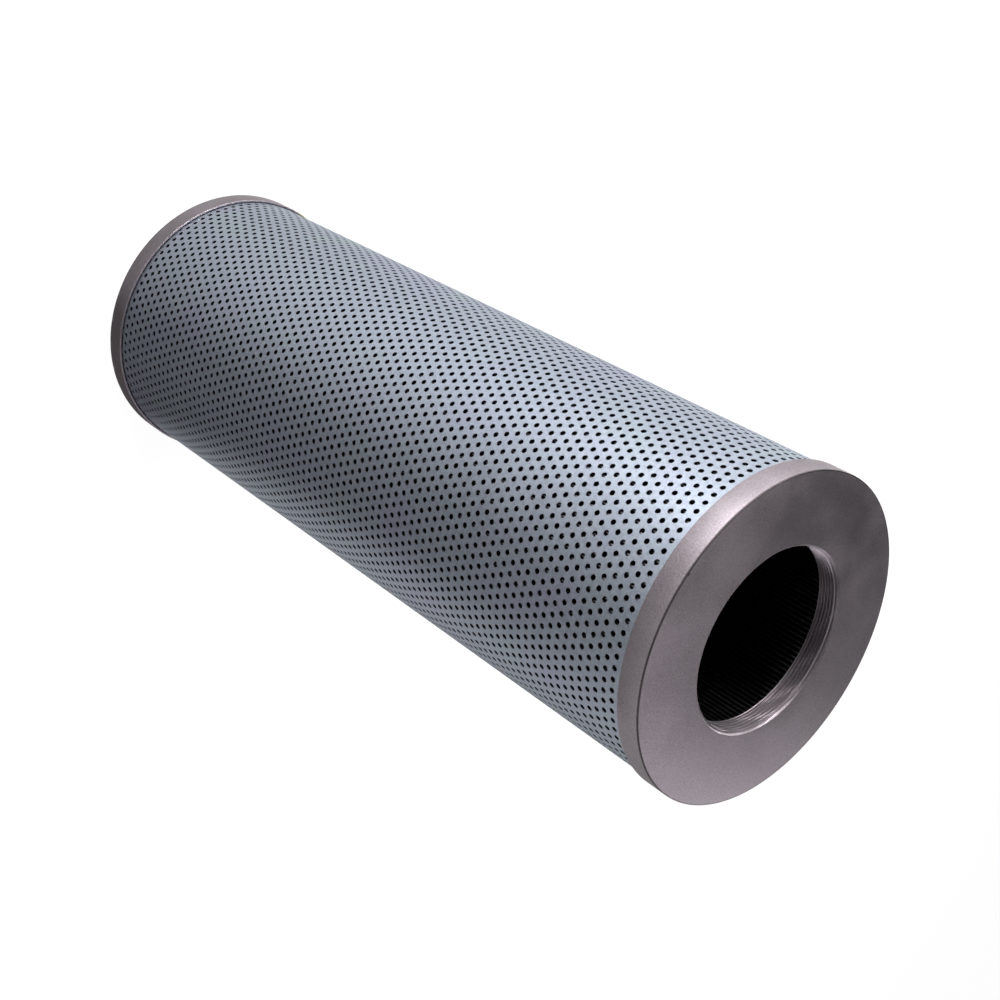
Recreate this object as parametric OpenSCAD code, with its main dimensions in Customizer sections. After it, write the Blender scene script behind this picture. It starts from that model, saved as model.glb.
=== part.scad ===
// Pleated hydraulic filter element with a perforated steel tube and two metal end caps.
// It stands on its closed end cap. +Z runs along its axis to the threaded end cap.
// The origin is the centre of the closed cap's outer face. Sizes are in millimetres.

/* [Overall] */
// Length over both end caps
element_length = 395.5; // [250:0.5:600]

/* [End caps] */
// Outer diameter of both end caps
cap_d = 142; // [130:0.5:170]
// Thickness of a cap's plate
cap_plate = 3.2; // [2.5:0.1:5]
// Length of the skirt that holds the tube, measured from the cap's outer face
skirt_length = 10.8; // [9.5:0.1:16]
// Wall thickness of the skirts
skirt_wall = 1; // [0.8:0.1:2]
// Chamfer on the outer edge of a cap
cap_edge = 0.6; // [0.2:0.1:1.2]
// Chamfer at the open end of a skirt
skirt_edge = 0.25; // [0.1:0.05:0.4]

/* [Threaded port] */
// Crest diameter of the internal thread, for an M80 x 1.5 stud
port_d = 78.4; // [60:0.1:80]
// Chamfer at the mouth of the port, where the thread starts
port_chamfer = 1.3; // [0.8:0.1:2]
// Length of the threaded wall, measured from the cap's outer face
port_length = 9.4; // [8.5:0.1:12]
// Wall thickness of the collar round the port
collar_wall = 3.3; // [2.5:0.1:4.5]

/* [Perforated tube] */
// Sheet thickness of the tube
tube_wall = 1; // [0.8:0.1:1.5]
// Hole diameter, a little under three times the real sheet's 2.45
hole_d = 6.9; // [5:0.1:7]
// Spacing of the holes round the tube, three times the real sheet's
hole_pitch = 14.42; // [14:0.02:20]
// Spacing of the staggered rings of holes along the tube, three times the real sheet's
ring_pitch = 13.09; // [11:0.01:20]
// Width of the weld bead on the tube's seam
weld_width = 1.6; // [1:0.1:2.5]
// Height of the weld bead above the sheet
weld_height = 0.15; // [0.05:0.05:0.2]

/* [Pleated pack] */
// Spacing of the pleats at their inner tips
pleat_pitch = 2.14; // [2.1:0.01:3.2]
// Gap between the port's collar and the inner tips of the pleats
pleat_port_gap = 5.5; // [3.5:0.1:9.5]
// Gap between the outer tips of the pleats and the tube
pleat_tube_gap = 0.3; // [0.2:0.1:1]
// Thickness of each woven wire mesh
mesh_thickness = 0.22; // [0.15:0.01:0.25]
// Thickness of the glass-fibre filter media
media_thickness = 0.42; // [0.3:0.01:0.45]
// Gap between neighbouring layers
layer_gap = 0.02; // [0.01:0.01:0.03]
// Space between the two legs of a fold, inside the fold
fold_space = 0.1; // [0.08:0.01:0.14]
// Angle from the tube's seam to the pack's own seam
pack_turn = 0.46; // [-1:0.02:1]

/* [Seam clip] */
// Sheet thickness of the clip that joins the two ends of the pleated pack
clip_sheet = 0.35; // [0.25:0.05:0.4]
// Depth of the clip's legs
clip_depth = 5; // [3:0.5:8]

/* [Potting] */
// Resin between a cap's plate and the ends of the pleats
potting_floor = 1.5; // [1:0.1:3]
// Height of the resin lip beside the pleats
potting_lip = 3; // [1:0.1:4]

/* [Fits] */
// Radial clearance between the tube and the skirts
tube_clearance = 0.15; // [0.1:0.01:0.3]
// Clearance round the resin and inside the seam clip
seat_clearance = 0.1; // [0.05:0.01:0.2]

/* [Hidden] */

smooth = 180;
hole_smooth = 24;

cap_r = cap_d / 2;
port_r = port_d / 2;
mouth_r = port_r + port_chamfer;
collar_r = port_r + collar_wall;
collar_edge = 0.4;
skirt_inner_r = cap_r - skirt_wall;

// Outer radius of the tube, across the corners of its flats
tube_r = skirt_inner_r - tube_clearance - weld_height;
tube_length = element_length - 2 * cap_plate;
holes_around = round(2 * PI * tube_r / hole_pitch);
// Each line of holes along the tube has a narrow flat of its own
tube_sides = 2 * holes_around;
side_angle = 360 / tube_sides;
// Inner radius of the tube across its flats, the least room that the pack has
tube_bore_r = tube_r * cos(side_angle / 2) - tube_wall;
// The tube's seam lies on +Y
seam_angle = 90;
// The first ring of holes is centred on the end of the threaded cap's skirt
first_ring_z = element_length - skirt_length;
ring_count = floor((first_ring_z - skirt_length + hole_d / 2) / ring_pitch) + 1;

pleat_inner_r = collar_r + pleat_port_gap;
pleat_count = round(2 * PI * pleat_inner_r / pleat_pitch);
pleat_angle = 360 / pleat_count;
stack = 2 * mesh_thickness + media_thickness + 2 * layer_gap;
fold_half_width = (stack + fold_space) / 2;
inner_fold_r = pleat_inner_r + stack / 2;
outer_fold_r = tube_bore_r - pleat_tube_gap - stack / 2;
pack_start = cap_plate + potting_floor;
pack_length = element_length - 2 * pack_start;
// Share of a fold's half width that its corners are cut back by
fold_round = 0.55;
// The two ends of the pack stop this far short of a whole outer fold, inside the clip
seam_end_r = outer_fold_r + stack / 2 - clip_sheet - seat_clearance;

// One fold of the sheet at the given angle. side is 1 for an outer fold, -1 for an inner one.
// offset is the distance from the middle of the sheet, positive towards the axis.
function fold(angle, radius, half_width, side) =
    let (
        cut = fold_round * half_width,
        across = [-half_width, cut - half_width, half_width - cut, half_width],
        along = [radius - side * cut, radius, radius, radius - side * cut]
    )
    [for (i = [0 : 3]) turned([along[i], across[i]], angle)];

function turned(p, angle) =
    [p[0] * cos(angle) - p[1] * sin(angle), p[0] * sin(angle) + p[1] * cos(angle)];

function inner_fold(k, offset) =
    fold((k + 0.5) * pleat_angle, inner_fold_r - offset, fold_half_width + offset, -1);

function outer_fold(k, offset) =
    fold(k * pleat_angle, outer_fold_r - offset, fold_half_width - offset, 1);

// The sheet's surface at an offset, all the way round from one side of the seam to the other
function pleated_line(offset) = concat(
    [turned([seam_end_r, fold_half_width - offset], 0)],
    [for (k = [0 : pleat_count - 1], p = concat(
        inner_fold(k, offset),
        k < pleat_count - 1 ? outer_fold(k + 1, offset) : []
    )) p],
    [turned([seam_end_r, offset - fold_half_width], 0)]
);

function reversed(list) = [for (i = [len(list) - 1 : -1 : 0]) list[i]];

// A pleated sheet between two offsets from the middle of the stack
module pleated_sheet(from_offset, to_offset) {
    translate([0, 0, pack_start])
        linear_extrude(pack_length)
            rotate(seam_angle + pack_turn)
                polygon(concat(pleated_line(from_offset), reversed(pleated_line(to_offset))));
}

// Outline of a cap's plate and skirt, with the plate's outer face at z = 0 and the skirt above it
function pan_points(inner_r) = [
    [inner_r, 0],
    [cap_r - cap_edge, 0],
    [cap_r, cap_edge],
    [cap_r, skirt_length - skirt_edge],
    [cap_r - skirt_edge, skirt_length],
    [skirt_inner_r, skirt_length],
    [skirt_inner_r, cap_plate]
];

// Disc with a skirt round the tube's end and a threaded collar. The thread's crests are the wall.
module threaded_end_cap() {
    color([0.52, 0.48, 0.48])
        translate([0, 0, element_length])
            mirror([0, 0, 1])
                rotate_extrude($fn = smooth)
                    polygon(concat(pan_points(mouth_r), [
                        [collar_r, cap_plate],
                        [collar_r, port_length - collar_edge],
                        [collar_r - collar_edge, port_length],
                        [port_r + collar_edge, port_length],
                        [port_r, port_length - collar_edge],
                        [port_r, port_chamfer]
                    ]));
}

// Closed disc with the same skirt
module closed_end_cap() {
    color([0.52, 0.48, 0.48])
        rotate_extrude($fn = smooth)
            polygon(concat(pan_points(0), [[0, cap_plate]]));
}

// Outline of the rolled sheet, with a narrow flat for each line of holes
module tube_outline(radius) {
    rotate(seam_angle)
        polygon([for (k = [0 : tube_sides - 1])
            turned([radius, 0], (k + 0.5) * side_angle)]);
}

// Bead that closes the rolled sheet, standing a little proud of it
module weld_outline() {
    flat_r = tube_r * cos(side_angle / 2);
    rotate(seam_angle)
        translate([flat_r - tube_wall / 2, -weld_width / 2])
            square([tube_wall / 2 + weld_height, weld_width]);
}

// One punched hole, centred on the tube's wall
module tube_hole(angle, z) {
    rotate(seam_angle + angle)
        translate([tube_r - 3 * tube_wall, 0, z])
            rotate([0, 90, 0])
                cylinder(h = 5 * tube_wall, d = hole_d, $fn = hole_smooth);
}

// Perforated sheet rolled into a tube. Every second ring of holes is turned by half a spacing,
// and the rings that would meet the seam leave out their hole there.
module outer_tube() {
    color([0.55, 0.62, 0.68])
        difference() {
            translate([0, 0, cap_plate])
                linear_extrude(tube_length)
                    difference() {
                        union() {
                            tube_outline(tube_r);
                            weld_outline();
                        }
                        tube_outline(tube_r - tube_wall / cos(side_angle / 2));
                    }
            for (ring = [0 : ring_count - 1])
                for (k = [1 - ring % 2 : holes_around - 1])
                    tube_hole((2 * k + ring % 2) * side_angle, first_ring_z - ring * ring_pitch);
        }
}

// Outer wire mesh, on the side of the tube
module outer_wire_mesh() {
    color([0.72, 0.73, 0.74])
        pleated_sheet(-stack / 2, -stack / 2 + mesh_thickness);
}

// Glass-fibre media between the two meshes
module filter_media() {
    color([0.90, 0.88, 0.80])
        pleated_sheet(-media_thickness / 2, media_thickness / 2);
}

// Inner wire mesh, seen through the port
module inner_wire_mesh() {
    color([0.60, 0.61, 0.62])
        pleated_sheet(stack / 2 - mesh_thickness, stack / 2);
}

// Steel strip folded over the two ends of the pleated pack
module pleat_seam_clip() {
    inside_width = 2 * stack + fold_space + 2 * seat_clearance;
    outside_r = outer_fold_r + stack / 2;
    color([0.66, 0.67, 0.68])
        translate([0, 0, pack_start])
            linear_extrude(pack_length)
                rotate(seam_angle + pack_turn)
                    difference() {
                        translate([outside_r - clip_depth, -inside_width / 2 - clip_sheet])
                            square([clip_depth, inside_width + 2 * clip_sheet]);
                        translate([outside_r - clip_depth - 1, -inside_width / 2])
                            square([clip_depth + 1 - clip_sheet, inside_width]);
                    }
}

// Resin ring in the threaded cap, with a lip between the collar and the pleats
module top_potting() {
    inside_r = collar_r + seat_clearance;
    lip_r = pleat_inner_r - seat_clearance;
    outside_r = tube_bore_r - seat_clearance;
    color([0.83, 0.74, 0.55])
        translate([0, 0, element_length - cap_plate])
            mirror([0, 0, 1])
                rotate_extrude($fn = smooth)
                    polygon([
                        [inside_r, 0],
                        [outside_r, 0],
                        [outside_r, potting_floor],
                        [lip_r, potting_floor],
                        [lip_r, potting_floor + potting_lip],
                        [inside_r, potting_floor + potting_lip]
                    ]);
}

// Resin disc in the closed cap, with the same lip inside the pleats
module bottom_potting() {
    lip_r = pleat_inner_r - seat_clearance;
    lip_width = pleat_port_gap - 2 * seat_clearance;
    outside_r = tube_bore_r - seat_clearance;
    color([0.83, 0.74, 0.55])
        translate([0, 0, cap_plate])
            rotate_extrude($fn = smooth)
                polygon([
                    [0, 0],
                    [outside_r, 0],
                    [outside_r, potting_floor],
                    [lip_r, potting_floor],
                    [lip_r, potting_floor + potting_lip],
                    [lip_r - lip_width, potting_floor + potting_lip],
                    [lip_r - lip_width, potting_floor],
                    [0, potting_floor]
                ]);
}

threaded_end_cap();
closed_end_cap();
outer_tube();
outer_wire_mesh();
filter_media();
inner_wire_mesh();
pleat_seam_clip();
top_potting();
bottom_potting();
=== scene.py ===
"""Looks of a pleated hydraulic filter element: perforated tube, two end caps and a pleated pack.

Every length is in metres, in the frame of the CAD part: the element stands on its closed cap and
+Z runs up its axis to the threaded cap. The perforated sheet is rolled up from -Y towards -X, and
a turn on it is an angle in radians that way round. Lamps and cards stand round the same axis.
"""

import math

import bmesh
import bpy
from mathutils import Matrix, Vector


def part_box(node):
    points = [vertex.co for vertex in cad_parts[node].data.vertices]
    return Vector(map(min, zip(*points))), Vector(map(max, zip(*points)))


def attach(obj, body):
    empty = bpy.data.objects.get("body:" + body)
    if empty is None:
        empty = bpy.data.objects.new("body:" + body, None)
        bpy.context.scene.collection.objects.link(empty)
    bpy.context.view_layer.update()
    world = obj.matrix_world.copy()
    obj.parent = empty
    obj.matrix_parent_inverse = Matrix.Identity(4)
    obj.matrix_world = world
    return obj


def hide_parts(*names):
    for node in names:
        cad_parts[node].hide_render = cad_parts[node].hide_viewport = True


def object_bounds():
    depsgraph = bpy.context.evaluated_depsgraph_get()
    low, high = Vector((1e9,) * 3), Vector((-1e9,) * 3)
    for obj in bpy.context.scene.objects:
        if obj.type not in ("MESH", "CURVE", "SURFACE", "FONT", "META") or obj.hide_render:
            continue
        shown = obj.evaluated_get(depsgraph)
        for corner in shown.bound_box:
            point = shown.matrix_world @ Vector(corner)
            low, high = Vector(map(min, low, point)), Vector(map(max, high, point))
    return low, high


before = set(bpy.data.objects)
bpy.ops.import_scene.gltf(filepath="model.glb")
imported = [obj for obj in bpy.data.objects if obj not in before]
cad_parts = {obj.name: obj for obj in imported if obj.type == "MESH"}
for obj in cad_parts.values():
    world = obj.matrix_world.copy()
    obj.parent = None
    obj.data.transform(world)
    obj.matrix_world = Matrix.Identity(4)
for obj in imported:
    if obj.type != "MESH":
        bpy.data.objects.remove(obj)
cad_low, cad_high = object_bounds()

MM = 0.001

# Main sizes, from the CAD part
CAP_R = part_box("threaded_end_cap")[1].x
LENGTH = cad_high.z
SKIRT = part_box("closed_end_cap")[1].z
TUBE_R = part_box("outer_tube")[1].x

# Perforated sheet: holes in staggered rings, half a step apart from ring to ring
SHEET = 1.0 * MM
HOLE_D = 2.45 * MM
HOLE_CORNERS = 12
HALF_TURN = math.radians(1.96406)
FIRST_TURN = math.radians(1.0605)
HALF_STEPS_EACH_SIDE = 90
RING_PITCH = 4.3634 * MM
FIRST_RING = LENGTH - 10.57 * MM
RINGS = 87
BANDS = 3

# Weld bead along the sheet's seam
WELD_WIDTH = 1.6 * MM
WELD_HEIGHT = 0.15 * MM
WELD_COLUMNS = 17

# Pleated pack. Its folds are counted from +X, and an outer crest lies 90.46 degrees from there.
PLEATS = 141
OUTER_CREST = 90.46 * PLEATS / 360
INNER_CREST = OUTER_CREST + 0.5
WIRE_PITCH = 0.5 * MM

# Caps, and the port in the threaded one
SKIRT_R = 70.0 * MM
PLATE = 3.2 * MM
COLLAR_R = 42.5 * MM
PORT_R = 39.2 * MM
PORT_DEPTH = 9.4 * MM
MOUTH_R = 40.5 * MM
CAP_STEPS = 240
EDGE_RADIUS = 0.3 * MM
EDGE_STEPS = 4
MOST_OF_A_SIDE = 0.45

# 60 degree thread. Its groove and its crest's flat are shares of the pitch.
THREAD_PITCH = 1.5 * MM
THREAD_ROWS = 96
GROOVE_DEPTH = 0.5413
CREST_FLAT = 1 / 8
FLANK_SLOPE = 1.732
RUN_OUT = (0.1 * MM, 0.9 * MM)

# Points this close are one point, and edges sharper than this stay sharp
SAME_POINT = 2e-6
SAME_RIM_POINT = 4e-6
TUBE_CREASE = math.radians(40)
CAP_CREASE = math.radians(35)

# Marks seen in the photo: a nick on the port face's edge, and dried adhesive at the closed cap
NICK_AT = (-5.6 * MM, -70.6 * MM, LENGTH)
GLUE_Y = 5 * MM
GLUE_REACH_Y = 9 * MM
GLUE_REACH_Z = 1.8 * MM
GLUE_COLOUR = (0.30, 0.27, 0.11, 1)
GLUE_COVER = 0.7

# Camera, at the photo's viewing angle
CAMERA_AT = Vector((0, -0.54562, 0.71805))
CAMERA_HEADING = math.radians(-1.445)
CAMERA_DOWN = math.radians(43.940)
CAMERA_ROLL = math.radians(119.530)
LENS_MM = 57.944
SENSOR_MM = 36
SHIFT = (0.04378, -0.07810)

# Soft lamps: name, place, what it is aimed at, size, power and colour
WHITE = (1.0, 1.0, 1.0)
MIDDLE = (0, 0, 0.2)
UPPER_PART = (0, 0, 0.35)
PORT_FACE = (0, 0, LENGTH)
LAMPS = (
    ("key left", (-0.70, -0.70, 0.34), MIDDLE, 0.5, 12, WHITE),
    ("key back", (-0.70, 0.70, 0.34), MIDDLE, 0.5, 8, WHITE),
    ("side", (-0.99, 0, 0.34), MIDDLE, 0.5, 4.5, WHITE),
    ("front fill", (0, -0.99, 0.34), MIDDLE, 0.5, 1.3, WHITE),
    ("right fill", (0.99, 0, 0.34), MIDDLE, 0.5, 0.8, WHITE),
    ("top", (0.40, 0.85, 0.78), UPPER_PART, 0.4, 1.3, (0.97, 0.94, 1.0)),
    ("near port", (0.45, -0.2, 0.3), UPPER_PART, 0.25, 0.15, WHITE),
    ("into port", (-0.51, -0.06, 0.70), PORT_FACE, 0.2, 3.0, WHITE),
)

# Dark cards that only the metal reflects: name, outline in (radius, height) points, which is
# swept round the axis, tones at directions in degrees from +X, and the share of the tone that
# is left close to the element
FLOOR_HALF = 6.0
CARD_STEPS = 32
CARD_R = 1.45
CARD_TOP = 2.2
NEAR_ELEMENT = (0.07, 0.30)
CARDS = (
    ("graded floor card", [(0.0712, 0.0004), (1.4, 0.0004)],
     [(81, 0.3), (113, 0.35), (132, 0.5), (152, 0.8), (189, 0.95), (227, 0.95), (251, 0.75),
      (275, 0.4), (292, 0.2), (345, 0.15), (367, 0.5), (388, 0.6), (405, 0.4), (441, 0.3)], 0.75),
    ("back card", [(CARD_R, 0.0), (CARD_R, CARD_TOP)], [(90, 0.0), (180, 0.0)], 1.0),
    ("right card", [(CARD_R, 0.0), (CARD_R, CARD_TOP)], [(0, 0.0), (45, 0.0)], 1.0),
    ("upper card", [(CARD_R, 0.9), (CARD_R, CARD_TOP)], [(45, 0.2), (90, 0.2)], 1.0),
    ("camera side card", [(CARD_R, 0.8), (CARD_R, CARD_TOP), (0.3, CARD_TOP)],
     [(200, 0.1), (350, 0.1)], 1.0),
)


class Value:
    """An output of a node, which Python's operators add Math nodes to."""

    def __init__(self, tree, socket):
        self.tree = tree
        self.socket = socket

    def __getitem__(self, name):
        """Another output of the same node."""
        return Value(self.tree, self.socket.node.outputs[name])

    def maths(self, operation, *values):
        return self.tree.node("ShaderNodeMath", {"operation": operation}, dict(enumerate(values)))

    def __add__(self, other):
        return self.maths("ADD", self, other)

    def __radd__(self, other):
        return self.maths("ADD", other, self)

    def __sub__(self, other):
        return self.maths("SUBTRACT", self, other)

    def __rsub__(self, other):
        return self.maths("SUBTRACT", other, self)

    def __mul__(self, other):
        return self.maths("MULTIPLY", self, other)

    def __rmul__(self, other):
        return self.maths("MULTIPLY", other, self)

    def __truediv__(self, other):
        return self.maths("DIVIDE", self, other)

    def __rtruediv__(self, other):
        return self.maths("DIVIDE", other, self)

    def __neg__(self):
        return self.maths("MULTIPLY", self, -1)

    def __abs__(self):
        return self.maths("ABSOLUTE", self)

    def sin(self):
        return self.maths("SINE", self)

    def cos(self):
        return self.maths("COSINE", self)

    def root(self):
        return self.maths("SQRT", self)

    def floor(self):
        return self.maths("FLOOR", self)

    def fraction(self):
        return self.maths("FRACT", self)

    def least(self, other):
        return self.maths("MINIMUM", self, other)

    def most(self, other):
        return self.maths("MAXIMUM", self, other)

    def over(self, limit):
        """1 where the value is over the limit, and 0 elsewhere."""
        return self.maths("GREATER_THAN", self, limit)

    def angle_from(self, other):
        """The angle whose sine is this value's share and whose cosine is the other's."""
        return self.maths("ARCTAN2", self, other)

    def ramp(self, low, high, start=0.0, end=1.0):
        """Runs from start to end while the value runs from low to high, and stops there."""
        return self.tree.node(
            "ShaderNodeMapRange", {"interpolation_type": "SMOOTHSTEP"},
            {"Value": self, "From Min": low, "From Max": high, "To Min": start, "To Max": end})


class Tree:
    """A node tree. Every node is made by node(), and values come back ready for arithmetic."""

    def __init__(self, data):
        self.data = data

    def node(self, kind, settings=None, inputs=None, output=0):
        """Adds a node: its settings first, then a value or a link for each socket named."""
        made = self.data.nodes.new(kind)
        for name, value in (settings or {}).items():
            if name == "stops":
                self.set_stops(made.color_ramp, value)
            else:
                setattr(made, name, value)
        for key, value in (inputs or {}).items():
            self.feed(made.inputs[key], value)
        if not made.outputs:
            return made
        return Value(self, made.outputs[output])

    def feed(self, socket, value):
        """Links a value, or each of a list of values, or sets a plain number or colour."""
        if isinstance(value, Value):
            self.data.links.new(value.socket, socket)
        elif isinstance(value, list):
            for one in value:
                self.data.links.new(one.socket, socket)
        else:
            socket.default_value = value

    def set_stops(self, ramp, stops):
        """Places a colour ramp's (position, colour) stops."""
        while len(ramp.elements) < len(stops):
            ramp.elements.new(0.5)
        for element, (place, colour) in zip(ramp.elements, stops):
            element.position = place
            element.color = colour

    def vector(self, x, y, z):
        return self.node("ShaderNodeCombineXYZ", None, {"X": x, "Y": y, "Z": z})

    def split(self, vector):
        """A vector's parts, as X, Y and Z."""
        return self.node("ShaderNodeSeparateXYZ", None, {"Vector": vector})

    def mixed(self, factor, first, second):
        """A colour between two colours."""
        return self.node(
            "ShaderNodeMix", {"data_type": "RGBA"},
            {"Factor": factor, 6: first, 7: second}, output=2)

    def noise(self, at, scale, detail=2.0, roughness=0.5):
        return self.node(
            "ShaderNodeTexNoise", None,
            {"Vector": at, "Scale": scale, "Detail": detail, "Roughness": roughness})


# Meshes made by Geometry Nodes

def new_tree(name, inputs):
    """An empty geometry tree with one named input per size. Returns the tree and its inputs."""
    group = bpy.data.node_groups.new(name, "GeometryNodeTree")
    group.is_modifier = True
    group.interface.new_socket(name="Geometry", in_out="INPUT", socket_type="NodeSocketGeometry")
    for label, value in inputs.items():
        kind = "NodeSocketInt" if isinstance(value, int) else "NodeSocketFloat"
        if isinstance(value, bpy.types.Material):
            kind = "NodeSocketMaterial"
        group.interface.new_socket(name=label, in_out="INPUT", socket_type=kind)
    group.interface.new_socket(name="Geometry", in_out="OUTPUT", socket_type="NodeSocketGeometry")
    tree = Tree(group)
    return tree, tree.node("NodeGroupInput")


def finish_tree(tree, geometry, material):
    """Ends a tree: points that meet are merged, and real geometry gets its material."""
    welded = tree.node(
        "GeometryNodeMergeByDistance", None, {"Geometry": geometry, "Distance": SAME_POINT})
    real = tree.node("GeometryNodeRealizeInstances", None, {"Geometry": welded})
    painted = tree.node("GeometryNodeSetMaterial", None, {"Geometry": real, "Material": material})
    tree.node("NodeGroupOutput", None, {"Geometry": painted})


def grown_mesh(name, tree, values):
    """The plain mesh that a geometry tree gives for these input values."""
    seed = bpy.data.objects.new(name + "_seed", bpy.data.meshes.new(name + "_seed"))
    bpy.context.collection.objects.link(seed)
    modifier = seed.modifiers.new("made", "NODES")
    modifier.node_group = tree.data
    for item in tree.data.interface.items_tree:
        if item.in_out == "INPUT" and item.name in values:
            modifier[item.identifier] = values[item.name]
    seen = seed.evaluated_get(bpy.context.evaluated_depsgraph_get())
    mesh = bpy.data.meshes.new_from_object(seen)
    seed.modifiers.remove(modifier)
    bpy.data.objects.remove(seed)
    mesh.name = name
    return mesh


def grid(tree, width, height, columns, rows):
    """A flat grid about the origin, columns by rows of points."""
    return tree.node(
        "GeometryNodeMeshGrid", None,
        {"Size X": width, "Size Y": height, "Vertices X": columns, "Vertices Y": rows})


def joined(tree, parts):
    return tree.node("GeometryNodeJoinGeometry", None, {"Geometry": parts})


def moved(tree, geometry, offset):
    """All of a geometry, moved by one offset."""
    return tree.node(
        "GeometryNodeTransform", None, {"Geometry": geometry, "Translation": offset})


def shifted(tree, geometry, offset):
    """A geometry with each point moved by its own offset."""
    return tree.node("GeometryNodeSetPosition", None, {"Geometry": geometry, "Offset": offset})


def bent(tree, geometry, place):
    """A geometry with each point put at its own place."""
    return tree.node("GeometryNodeSetPosition", None, {"Geometry": geometry, "Position": place})


def without(tree, points, chosen):
    """The points that aren't chosen."""
    return tree.node(
        "GeometryNodeDeleteGeometry", {"domain": "POINT", "mode": "ALL"},
        {"Geometry": points, "Selection": chosen})


def set_out(tree, points, piece):
    """One copy of a piece at each point."""
    return tree.node("GeometryNodeInstanceOnPoints", None, {"Points": points, "Instance": piece})


def point_place(tree):
    """Where each point of a geometry is, as X, Y and Z."""
    return tree.split(tree.node("GeometryNodeInputPosition"))


def both_sides(tree, face, thickness, more):
    """A flat face, its twin on the other side of the sheet, and what joins them."""
    back = moved(tree, face, tree.vector(0, 0, -thickness))
    return joined(tree, [face, back, *more])


def punched_brick(tree, given):
    """A brick of sheet with a hole through its middle."""
    edge = tree.node(
        "GeometryNodeCurvePrimitiveQuadrilateral", {"mode": "RECTANGLE"},
        {"Width": given["Half Step"] * 2, "Height": given["Ring Pitch"]})
    edge = tree.node("GeometryNodeSubdivideCurve", None, {"Curve": edge, "Cuts": 1})
    ring = tree.node(
        "GeometryNodeCurvePrimitiveCircle", {"mode": "RADIUS"},
        {"Resolution": given["Hole Corners"], "Radius": given["Hole Diameter"] / 2})
    face = tree.node("GeometryNodeFillCurve", None, {"Curve": joined(tree, [edge, ring])})
    wall = tree.node("GeometryNodeCurveToMesh", None, {"Curve": ring})
    wall = tree.node(
        "GeometryNodeExtrudeMesh", {"mode": "EDGES"},
        {"Mesh": wall, "Offset": tree.vector(0, 0, -1), "Offset Scale": given["Sheet"]})
    return both_sides(tree, face, given["Sheet"], [wall])


def plain_half_brick(tree, given):
    """Half a brick without a hole, with a middle point on its sides as the whole brick has."""
    face = grid(tree, given["Half Step"], given["Ring Pitch"], 2, 3)
    return both_sides(tree, face, given["Sheet"], [])


def in_odd_row(tree, given):
    """1 on every second ring of holes, which are half a brick further on."""
    rings_up = point_place(tree)["Y"] / given["Ring Pitch"] + (given["Rings"] - 1) / 2
    row = (rings_up + 0.5).floor()
    return ((row + given["Odd Start"]) * 0.5).fraction().over(0.25)


def rings_of_holes(tree, given, odd):
    """Punched bricks in staggered rings. An odd ring has one brick less."""
    step = given["Half Step"]
    across = given["Half Steps"] + 1
    rows = grid(
        tree, given["Half Steps"] * step * 2, (given["Rings"] - 1) * given["Ring Pitch"],
        across, given["Rings"])
    staggered = shifted(tree, rows, tree.vector(odd * step, 0, 0))
    past_end = (point_place(tree)["X"] / step).over(given["Half Steps"] + 0.5)
    return set_out(tree, without(tree, staggered, past_end), punched_brick(tree, given))


def ring_ends(tree, given, odd):
    """A plain half brick at both ends of each odd ring, up to the seam."""
    ends = grid(
        tree, (given["Half Steps"] * 2 + 1) * given["Half Step"],
        (given["Rings"] - 1) * given["Ring Pitch"], 2, given["Rings"])
    return set_out(tree, without(tree, ends, 1 - odd), plain_half_brick(tree, given))


def welded_seam(tree, given):
    """The plain strip that closes the tube, with a low weld bead along its middle."""
    radius = given["Radius"]
    width = 2 * math.pi * radius - (given["Half Steps"] * 2 + 2) * given["Half Step"]
    strip = grid(
        tree, width, given["Rings"] * given["Ring Pitch"], WELD_COLUMNS, given["Rings"] * 2 + 1)
    off_middle = point_place(tree)["X"] * 2 / given["Weld Width"]
    bead = (1 - off_middle * off_middle).most(0).root() * given["Weld Height"]
    outside = shifted(tree, strip, tree.vector(0, 0, bead))
    inside = moved(tree, strip, tree.vector(0, 0, -given["Sheet"]))
    return moved(tree, joined(tree, [outside, inside]), tree.vector(math.pi * radius, 0, 0))


def punched_sheet_tree(sizes):
    """Flat punched sheet laid out in rings and rolled into a tube.

    A ring of holes is a row of bricks, each with a hole, and every second row is half a brick
    further on. Rows that end half a brick short of the seam get a plain half brick.
    """
    tree, given = new_tree("punched sheet rolled into a tube", sizes)
    odd = in_odd_row(tree, given)
    flat = joined(tree, [
        rings_of_holes(tree, given, odd), ring_ends(tree, given, odd), welded_seam(tree, given)])
    flat = tree.node("GeometryNodeRealizeInstances", None, {"Geometry": flat})
    at = point_place(tree)
    turn = at["X"] / given["Radius"] + given["First Turn"]
    radius = given["Radius"] + at["Z"]
    rolled = bent(tree, flat, tree.vector(
        -(turn.sin() * radius), -(turn.cos() * radius), at["Y"] + given["Middle"]))
    finish_tree(tree, rolled, given["Material"])
    return tree


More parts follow.
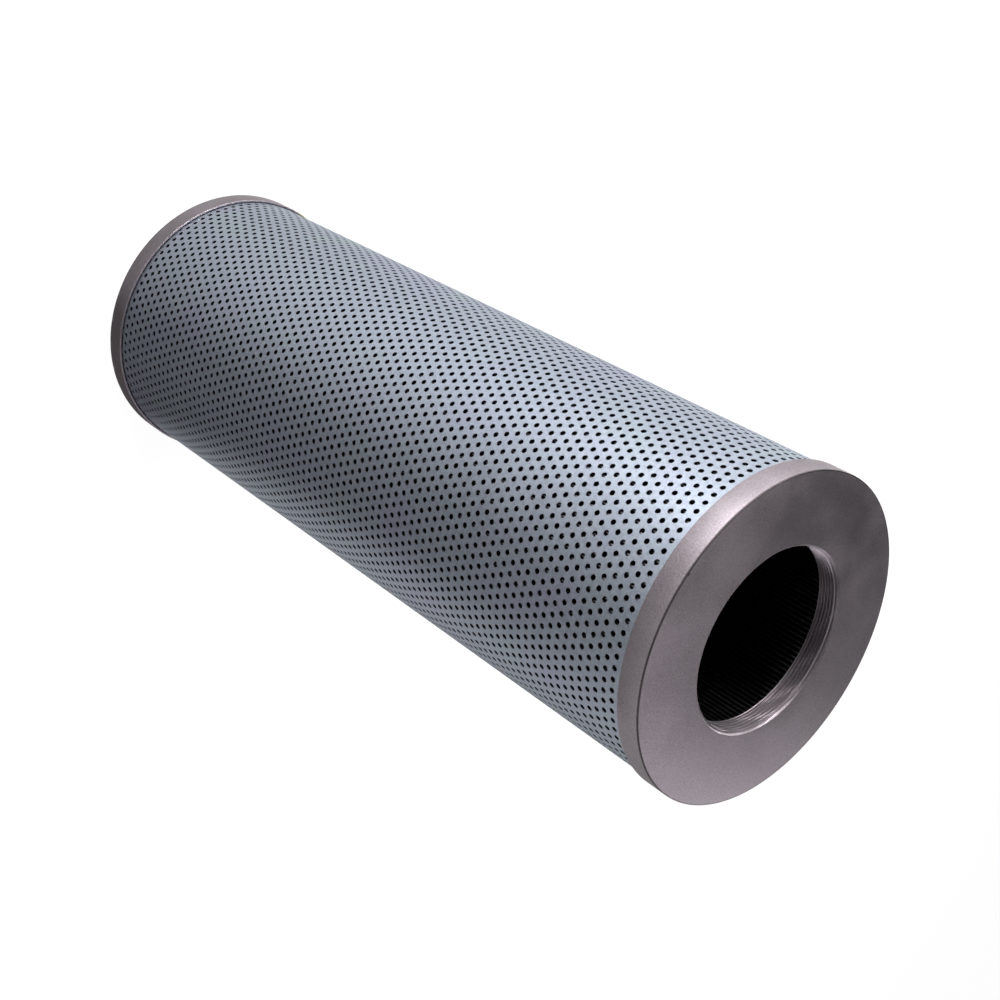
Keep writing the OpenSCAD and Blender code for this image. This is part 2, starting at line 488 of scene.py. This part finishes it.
def perforated_tube(material):
    """The tube, in bands so that each piece stays light."""
    each = RINGS // BANDS
    sizes = {
        "Half Step": TUBE_R * HALF_TURN, "Ring Pitch": RING_PITCH, "Sheet": SHEET,
        "Hole Diameter": HOLE_D, "Hole Corners": HOLE_CORNERS, "Half Steps": HALF_STEPS_EACH_SIDE,
        "Rings": each, "Odd Start": 0, "Radius": TUBE_R, "First Turn": FIRST_TURN, "Middle": 0.0,
        "Weld Width": WELD_WIDTH, "Weld Height": WELD_HEIGHT, "Material": material,
    }
    tree = punched_sheet_tree(sizes)
    bands = []
    for band in range(BANDS):
        lowest = FIRST_RING - (RINGS - 1 - band * each) * RING_PITCH
        sizes["Odd Start"] = (band * each) % 2
        sizes["Middle"] = lowest + (each - 1) / 2 * RING_PITCH
        mesh = grown_mesh("outer_tube_band_%d" % (band + 1), tree, sizes)
        close_ends(mesh)
        mesh.set_sharp_from_angle(angle=TUBE_CREASE)
        bands.append(piece_from(mesh))
    return bands


def turn_of(vert):
    """A point's turn, the way that the sheet is rolled up."""
    return math.atan2(-vert.co.x, -vert.co.y)


def close_ends(mesh):
    """Joins the inner and outer skin of a band at its two ends, and turns every face outwards."""
    work = bmesh.new()
    work.from_mesh(mesh)
    middle = sum(v.co.z for v in work.verts) / len(work.verts)
    open_rims = [v for v in work.verts if v.is_boundary]
    for side in (-1, 1):
        rim = sorted((v for v in open_rims if (v.co.z - middle) * side > 0), key=turn_of)
        outer = [v for v in rim if v.co.xy.length > TUBE_R - SHEET / 2]
        inner = [v for v in rim if v.co.xy.length < TUBE_R - SHEET / 2]
        for k in range(len(outer)):
            work.faces.new((outer[k - 1], outer[k], inner[k], inner[k - 1]))
    into_mesh(work, mesh)


def thread_tree(sizes):
    """Wall of the port: a lead-in chamfer and a thread that runs out at the far end."""
    tree, given = new_tree("threaded wall", sizes)
    pitch = given["Pitch"]
    flat = grid(tree, 1.0, 1.0, given["Steps"] + 1, given["Rows"])
    at = point_place(tree)
    turn = (at["X"] + 0.5) * (2 * math.pi)
    depth = (at["Y"] + 0.5) * given["Depth"]
    from_crest = abs((depth / pitch - at["X"]).fraction() - 0.5) * pitch
    groove = ((from_crest - pitch * (CREST_FLAT / 2)) * FLANK_SLOPE).most(0)
    groove = groove.least(GROOVE_DEPTH * pitch) * (given["Depth"] - depth).ramp(*RUN_OUT)
    chamfer = given["Mouth Radius"] - depth
    radius = (given["Crest Radius"] + groove).most(chamfer)
    wound = bent(tree, flat, tree.vector(
        turn.cos() * radius, turn.sin() * radius, given["Face"] - depth))
    finish_tree(tree, wound, given["Material"])
    return tree


# Meshes made in Python

def into_mesh(work, mesh):
    """Fills a mesh from a bmesh and ends that: faces outwards and smooth."""
    bmesh.ops.recalc_face_normals(work, faces=work.faces)
    for face in work.faces:
        face.smooth = True
    work.to_mesh(mesh)
    work.free()


def shown(mesh):
    """An object in the scene that shows a mesh."""
    made = bpy.data.objects.new(mesh.name, mesh)
    bpy.context.collection.objects.link(made)
    return made


def piece_from(mesh):
    """An object that shows a mesh and rides on the part's only body."""
    made = shown(mesh)
    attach(made, "root")
    return made


def swept_faces(work, outline, angles, full_turn):
    """Sweeps an outline of (radius, height) points through these angles round Z."""
    columns = []
    for angle in angles:
        columns.append([
            work.verts.new((r * math.cos(angle), r * math.sin(angle), z)) for r, z in outline])
    if full_turn:
        columns.append(columns[0])
    for here, there in zip(columns, columns[1:]):
        for i in range(len(outline) - 1):
            work.faces.new((here[i], there[i], there[i + 1], here[i + 1]))


def broken_edges(outline):
    """The outline with each corner cut by a small arc."""
    made = [outline[0]]
    for before, corner, after in zip(outline, outline[1:], outline[2:]):
        here = Vector(corner)
        back = Vector(before) - here
        on = Vector(after) - here
        cut = min(EDGE_RADIUS, back.length * MOST_OF_A_SIDE, on.length * MOST_OF_A_SIDE)
        start = here + back.normalized() * cut
        end = here + on.normalized() * cut
        for k in range(EDGE_STEPS + 1):
            share = k / EDGE_STEPS
            point = start * (1 - share) ** 2 + here * 2 * share * (1 - share) + end * share ** 2
            made.append((point.x, point.y))
    return made + [outline[-1]]


def turned_body(outline):
    """A bmesh of a turned part: its outline, with broken edges, revolved round Z."""
    work = bmesh.new()
    angles = [2 * math.pi * step / CAP_STEPS for step in range(CAP_STEPS)]
    swept_faces(work, broken_edges(outline), angles, full_turn=True)
    bmesh.ops.remove_doubles(work, verts=work.verts, dist=SAME_POINT)
    return work


def cap_outline(inner_r, outward):
    """Plate and skirt of a cap as (radius, height) points. outward is 1 at the top, -1 below."""
    face = LENGTH if outward > 0 else 0.0
    points = [
        (inner_r, 0), (CAP_R, 0), (CAP_R, SKIRT), (SKIRT_R, SKIRT), (SKIRT_R, PLATE)]
    return [(r, face - outward * depth) for r, depth in points]


def threaded_cap(metal, thread_metal):
    """Cap with the port: the turned body and the threaded wall, joined at their rims."""
    outline = cap_outline(MOUTH_R, 1) + [
        (COLLAR_R, LENGTH - PLATE),
        (COLLAR_R, LENGTH - PORT_DEPTH),
        (PORT_R, LENGTH - PORT_DEPTH),
    ]
    sizes = {
        "Steps": CAP_STEPS, "Rows": THREAD_ROWS, "Pitch": THREAD_PITCH, "Depth": PORT_DEPTH,
        "Mouth Radius": MOUTH_R, "Crest Radius": PORT_R, "Face": LENGTH, "Material": thread_metal,
    }
    wall = grown_mesh("port_wall", thread_tree(sizes), sizes)
    work = turned_body(outline)
    for face in work.faces:
        face.material_index = 1
    work.from_mesh(wall)
    bmesh.ops.remove_doubles(work, verts=work.verts, dist=SAME_RIM_POINT)
    return turned_cap("threaded_cap", work, [thread_metal, metal])


def closed_cap(metal):
    """Cap without a port: a plain pan."""
    work = turned_body(cap_outline(0.0, -1) + [(0.0, PLATE)])
    return turned_cap("closed_cap", work, [metal])


def turned_cap(name, work, materials):
    """A cap from its bmesh: smooth all over but for its sharp edges."""
    mesh = bpy.data.meshes.new(name)
    into_mesh(work, mesh)
    for material in materials:
        mesh.materials.append(material)
    mesh.set_sharp_from_angle(angle=CAP_CREASE)
    return piece_from(mesh)


# Materials

def new_material(name, constants):
    """A material, its tree and its main shader. constants are its values that don't change."""
    material = bpy.data.materials.new(name)
    material.use_nodes = True
    shader = material.node_tree.nodes["Principled BSDF"]
    for label, value in constants.items():
        shader.inputs[label].default_value = value
    return material, Tree(material.node_tree), shader


def bumped(tree, shader, height, distance, strength):
    made = tree.node(
        "ShaderNodeBump", None, {"Height": height, "Distance": distance, "Strength": strength})
    tree.feed(shader.inputs["Normal"], made)


def object_place(tree):
    return tree.node("ShaderNodeTexCoord")["Object"]


def place_parts(tree, at):
    """A place on the object, as x, y, z and the distance from the axis."""
    parts = tree.split(at)
    x, y, z = parts["X"], parts["Y"], parts["Z"]
    return x, y, z, (x * x + y * y).root()


def grey(tone):
    return (tone, tone, tone, 1)


def with_glue(tree, colour, x, y, z):
    """A colour, with a bit of dried adhesive on it at the closed cap's lip, on the -X side."""
    along = (y - GLUE_Y) / GLUE_REACH_Y
    across = (z - SKIRT) / GLUE_REACH_Z
    far = (along * along + across * across).root() + x.over(0)
    return tree.mixed(far.ramp(0.7, 1.0, 1, 0) * GLUE_COVER, colour, GLUE_COLOUR)


def blasted_metal():
    """Fine blasted cap metal, grey with a mauve tint, with painted shade along the outer edges."""
    material, tree, shader = new_material("blasted cap metal", {"Metallic": 1.0})
    at = object_place(tree)
    x, y, z, radius = place_parts(tree, at)
    grain = tree.noise(at, 1500, roughness=0.6)
    patches = tree.noise(at, 26, detail=3.0, roughness=0.6)
    shade = (grain * 0.6 + patches * 0.4).ramp(0.35, 0.65)
    colour = tree.mixed(shade, (0.246, 0.214, 0.231, 1), (0.342, 0.301, 0.327, 1))
    # Darker along the outer edges of the end faces as painted shade, and at the nick on the port
    # face's edge as a real mark
    at_rim = radius.ramp(CAP_R - 0.6 * MM, CAP_R - 0.3 * MM)
    at_end = abs(z - LENGTH / 2).ramp(LENGTH / 2 - 0.9 * MM, LENGTH / 2 - 0.4 * MM)
    from_nick = tree.node(
        "ShaderNodeVectorMath", {"operation": "DISTANCE"}, {0: at, 1: NICK_AT}, output="Value")
    dark = (at_rim * at_end).most(from_nick.ramp(0.5 * MM, 1.1 * MM, 1, 0))
    colour = tree.mixed(dark * 0.85, colour, (0.025, 0.018, 0.018, 1))
    tree.feed(shader.inputs["Base Color"], with_glue(tree, colour, x, y, z))
    tree.feed(shader.inputs["Roughness"], patches.ramp(0.3, 0.7, 0.39, 0.46))
    bumped(tree, shader, grain, distance=0.1 * MM, strength=0.8)
    return material


def machined_thread():
    """Cut thread: bright crests, and painted shade in the grooves."""
    material, tree, shader = new_material("cut thread metal", {"Metallic": 1.0, "Roughness": 0.3})
    at = object_place(tree)
    _, _, z, radius = place_parts(tree, at)
    fine = tree.noise(at, 1800)
    in_groove = radius.ramp(PORT_R + 0.2 * MM, PORT_R + 0.5 * MM)
    past_mouth = (LENGTH - z).ramp(1.2 * MM, 1.5 * MM)
    bright = tree.mixed(fine.ramp(0.3, 0.7), (0.60, 0.56, 0.60, 1), (0.85, 0.81, 0.85, 1))
    # Painted shade: the grooves go near black beyond the mouth's chamfer
    colour = tree.mixed(in_groove * past_mouth, bright, (0.025, 0.02, 0.025, 1))
    tree.feed(shader.inputs["Base Color"], colour)
    return material


def zinc_sheet():
    """Bluish zinc-plated sheet, with its hole walls (bare punched edges) and inner side darkened as
    painted shade, and a heat tint along its weld.
    """
    material, tree, shader = new_material("zinc plated sheet", {"Metallic": 1.0})
    at = object_place(tree)
    x, y, z, radius = place_parts(tree, at)
    cloud = tree.noise(at, 22)
    other_cloud = tree.noise(at, 31)
    fine = tree.noise(at, 900, roughness=0.55)
    colour = tree.mixed(fine.ramp(0.3, 0.7), (0.355, 0.397, 0.470, 1), (0.405, 0.445, 0.515, 1))
    colour = tree.mixed(cloud.ramp(0.5, 0.72, 0, 0.35), colour, (0.40, 0.39, 0.54, 1))
    colour = tree.mixed(other_cloud.ramp(0.55, 0.75, 0, 0.4), colour, (0.38, 0.47, 0.47, 1))
    from_weld = abs(x - TUBE_R * FIRST_TURN) + 1 - y.over(0)
    colour = tree.mixed(from_weld.ramp(2 * MM, 5 * MM, 0.5, 0), colour, (0.33, 0.29, 0.24, 1))
    colour = tree.mixed(from_weld.ramp(0.7 * MM, 1.1 * MM, 0.8, 0), colour, (0.22, 0.21, 0.21, 1))
    colour = with_glue(tree, colour, x, y, z)
    # Painted shade: the hole walls and the sheet's inner side go near black
    on_skin = radius.ramp(TUBE_R - 0.4 * MM, TUBE_R - 0.08 * MM)
    colour = tree.mixed(on_skin, (0.05, 0.05, 0.06, 1), colour)
    tree.feed(shader.inputs["Base Color"], colour)
    tree.feed(shader.inputs["Roughness"], fine.ramp(0.3, 0.7, 0.38, 0.46))
    bumped(tree, shader, fine, distance=0.03 * MM, strength=0.4)
    return material


def woven_wire(name, crest, crest_width, glint_tone):
    """Pleated woven wire: a weave darkened as painted shade, with a painted glint along the crests
    of the folds.
    """
    material, tree, shader = new_material(name, {"Metallic": 1.0, "Roughness": 0.3})
    x, y, z, radius = place_parts(tree, object_place(tree))
    along = abs((radius * (math.pi / WIRE_PITCH)).sin())
    across = abs((z * (math.pi / WIRE_PITCH)).sin())
    wires = along.most(across)
    fold = y.angle_from(x) * (PLEATS / (2 * math.pi)) - crest
    from_crest = abs((fold + 0.5).fraction() - 0.5)
    # Painted shade: wires and gaps are kept dark
    weave = tree.mixed(wires.ramp(0.6, 0.95), grey(0.008), (0.10, 0.10, 0.105, 1))
    # Painted glint along the crests of the folds
    painted_glint = (1 - from_crest.ramp(crest_width * 0.4, crest_width)) * across.ramp(0.3, 0.8)
    colour = tree.mixed(painted_glint, weave, (glint_tone, glint_tone, glint_tone * 1.04, 1))
    tree.feed(shader.inputs["Base Color"], colour)
    bumped(tree, shader, wires, distance=0.1 * MM, strength=0.8)
    return material


def fibre_mat():
    """Matted glass fibre, off white."""
    material, tree, shader = new_material("glass fibre mat", {"Roughness": 0.9})
    fuzz = tree.noise(object_place(tree), 700, detail=4.0, roughness=0.7)
    colour = tree.mixed(fuzz.ramp(0.3, 0.7), (0.72, 0.69, 0.60, 1), (0.86, 0.84, 0.78, 1))
    tree.feed(shader.inputs["Base Color"], colour)
    bumped(tree, shader, fuzz, distance=0.1 * MM, strength=0.6)
    return material


def cast_resin():
    """Amber potting resin, cast in place, with soft clouds."""
    material, tree, shader = new_material("potting resin", {"Roughness": 0.35})
    cloud = tree.noise(object_place(tree), 60, detail=3.0)
    colour = tree.mixed(cloud.ramp(0.3, 0.7), (0.45, 0.33, 0.13, 1), (0.62, 0.48, 0.22, 1))
    tree.feed(shader.inputs["Base Color"], colour)
    bumped(tree, shader, cloud, distance=0.4 * MM, strength=0.5)
    return material


# Stage, light and camera

def seen_or_reflected(tree):
    """1 for what the camera sees, also in metal or through glass, and 0 for light that falls on."""
    rays = tree.node("ShaderNodeLightPath")
    return rays["Is Camera Ray"].most(rays["Is Glossy Ray"]).most(rays["Is Transmission Ray"])


def stage_piece(name, work, material):
    """An object from a bmesh that belongs to the studio, not to the part."""
    mesh = bpy.data.meshes.new(name)
    work.to_mesh(mesh)
    work.free()
    mesh.materials.append(material)
    made = shown(mesh)
    return made


def floor_and_backdrop():
    """A pale floor under the closed cap. It is seen as white, with the element's soft shadow."""
    material, tree, shader = new_material(
        "pale floor",
        {"Roughness": 1.0, "Specular IOR Level": 0.0, "Emission Color": (1, 1, 1, 1)})
    seen = seen_or_reflected(tree)
    tree.feed(shader.inputs["Base Color"], tree.mixed(seen, grey(0.8), grey(0.12)))
    tree.feed(shader.inputs["Emission Strength"], seen * 0.94)
    work = bmesh.new()
    bmesh.ops.create_grid(work, x_segments=1, y_segments=1, size=FLOOR_HALF)
    stage_piece("floor", work, material)


def dark_card(name, outline, shades, near_share):
    """A dark studio card that only shows as the shading it gives to the metal's reflections.

    The outline is swept through the shades' directions, and the card's tone runs from shade to
    shade. Close to the element, near_share of the tone is left.
    """
    material = bpy.data.materials.new(name)
    material.use_nodes = True
    tree = Tree(material.node_tree)
    x, y, _, radius = place_parts(tree, object_place(tree))
    start, end = (math.radians(shades[k][0]) for k in (0, -1))
    turns = ((y.angle_from(x) - start) / (2 * math.pi)).fraction()
    stops = [((math.radians(degrees) - start) / (end - start), grey(shade))
             for degrees, shade in shades]
    tone = tree.node(
        "ShaderNodeValToRGB", {"stops": stops}, {"Fac": turns * (2 * math.pi / (end - start))})
    colour = tree.mixed(radius.ramp(*NEAR_ELEMENT, near_share, 1.0), grey(0.0), tone)
    glow = tree.node("ShaderNodeEmission", None, {"Color": colour, "Strength": 1.0})
    tree.feed(material.node_tree.nodes["Material Output"].inputs["Surface"], glow)
    work = bmesh.new()
    angles = [start + (end - start) * k / CARD_STEPS for k in range(CARD_STEPS + 1)]
    swept_faces(work, outline, angles, full_turn=False)
    made = stage_piece(name, work, material)
    made.visible_camera = False
    made.visible_diffuse = False
    made.visible_shadow = False


def area_light(name, at, aim, size, power, colour):
    """A square soft lamp, aimed at a point, that the camera doesn't see."""
    data = bpy.data.lights.new(name, "AREA")
    data.shape = "SQUARE"
    data.size = size
    data.energy = power
    data.color = colour
    light = bpy.data.objects.new(name, data)
    light.location = at
    light.rotation_euler = (Vector(aim) - Vector(at)).to_track_quat("-Z", "Y").to_euler()
    light.visible_camera = False
    bpy.context.collection.objects.link(light)


def light_scene():
    """The world, which is white where it is seen, and the studio's lamps and cards."""
    world = bpy.data.worlds.new("world")
    bpy.context.scene.world = world
    world.use_nodes = True
    tree = Tree(world.node_tree)
    background = world.node_tree.nodes["Background"]
    background.inputs["Color"].default_value = (1, 1, 1, 1)
    tree.feed(background.inputs["Strength"], 0.3 + seen_or_reflected(tree) * 0.7)
    for lamp in LAMPS:
        area_light(*lamp)
    for card in CARDS:
        dark_card(*card)


def photo_camera():
    """Camera fitted to the photo: its heading, tilt and roll about the view."""
    data = bpy.data.cameras.new("camera")
    data.lens = LENS_MM
    data.sensor_width = SENSOR_MM
    data.shift_x, data.shift_y = SHIFT
    data.clip_start = 10 * MM
    camera = bpy.data.objects.new("camera", data)
    forward = Vector((
        math.sin(CAMERA_HEADING) * math.cos(CAMERA_DOWN),
        math.cos(CAMERA_HEADING) * math.cos(CAMERA_DOWN),
        -math.sin(CAMERA_DOWN)))
    level = forward.to_track_quat("-Z", "Y").to_matrix()
    rolled = level @ Matrix.Rotation(CAMERA_ROLL, 3, "Z")
    camera.matrix_world = Matrix.Translation(CAMERA_AT) @ rolled.to_4x4()
    bpy.context.collection.objects.link(camera)
    bpy.context.scene.camera = camera


bpy.context.scene.view_settings.view_transform = "Standard"

photo_camera()
cap_metal = blasted_metal()
thread_metal = machined_thread()
sheet_metal = zinc_sheet()
outer_wire = woven_wire("outer woven wire", OUTER_CREST, crest_width=0.08, glint_tone=0.95)
inner_wire = woven_wire("inner woven wire", INNER_CREST, crest_width=0.12, glint_tone=0.2)
resin = cast_resin()
fibre = fibre_mat()

tube_bands = perforated_tube(sheet_metal)
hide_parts("outer_tube")

top_cap = threaded_cap(cap_metal, thread_metal)
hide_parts("threaded_end_cap")
base_cap = closed_cap(cap_metal)
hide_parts("closed_end_cap")

# The inner pieces are the CAD's own meshes, with materials
kept = {
    "outer_wire_mesh": outer_wire, "inner_wire_mesh": inner_wire, "filter_media": fibre,
    "pleat_seam_clip": cap_metal, "top_potting": resin, "bottom_potting": resin,
}
for node, material in kept.items():
    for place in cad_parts[node].material_slots:
        place.material = material

floor_and_backdrop()
light_scene()
